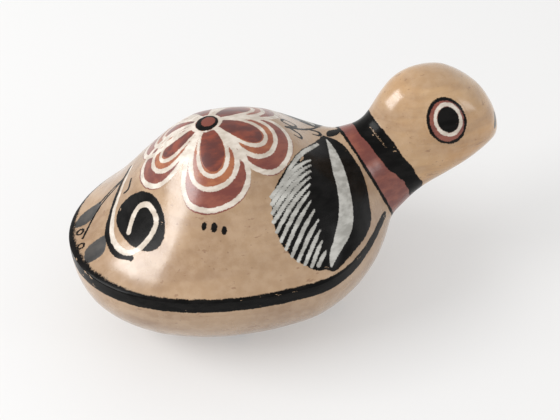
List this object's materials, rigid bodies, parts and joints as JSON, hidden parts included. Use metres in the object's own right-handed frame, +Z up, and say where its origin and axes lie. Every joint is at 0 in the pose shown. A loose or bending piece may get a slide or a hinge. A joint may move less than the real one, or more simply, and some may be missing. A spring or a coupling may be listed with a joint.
{
  "type": "ocarina",
  "caption": "Painted clay vessel flute in the form of a turtle, with a domed hollow body on a flat foot and a raised neck and head that holds the windway.",
  "frame": {"origin": "on the flat foot that the body stands on, under its widest section", "axes": "+X towards the head, +Y to the turtle's left, +Z up"},
  "size_m": [0.1449, 0.083, 0.0712],
  "materials": {
    "tan_clay": "burnished, semi-gloss, painted with clay slips",
    "raw_clay": "matte",
    "black_slip": "burnished, semi-gloss",
    "white_slip": "burnished, semi-gloss",
    "red_slip": "burnished, semi-gloss"
  },
  "bodies": {
    "root": {"carapace": "tan_clay", "belly_shell": "tan_clay", "head_left": "tan_clay", "head_right": "tan_clay", "eye_left": "black_slip", "eye_right": "black_slip", "seam_coil": "raw_clay", "windway_floor": "raw_clay", "windway_roof": "raw_clay", "labium": "raw_clay"}
  },
  "joints": []
}
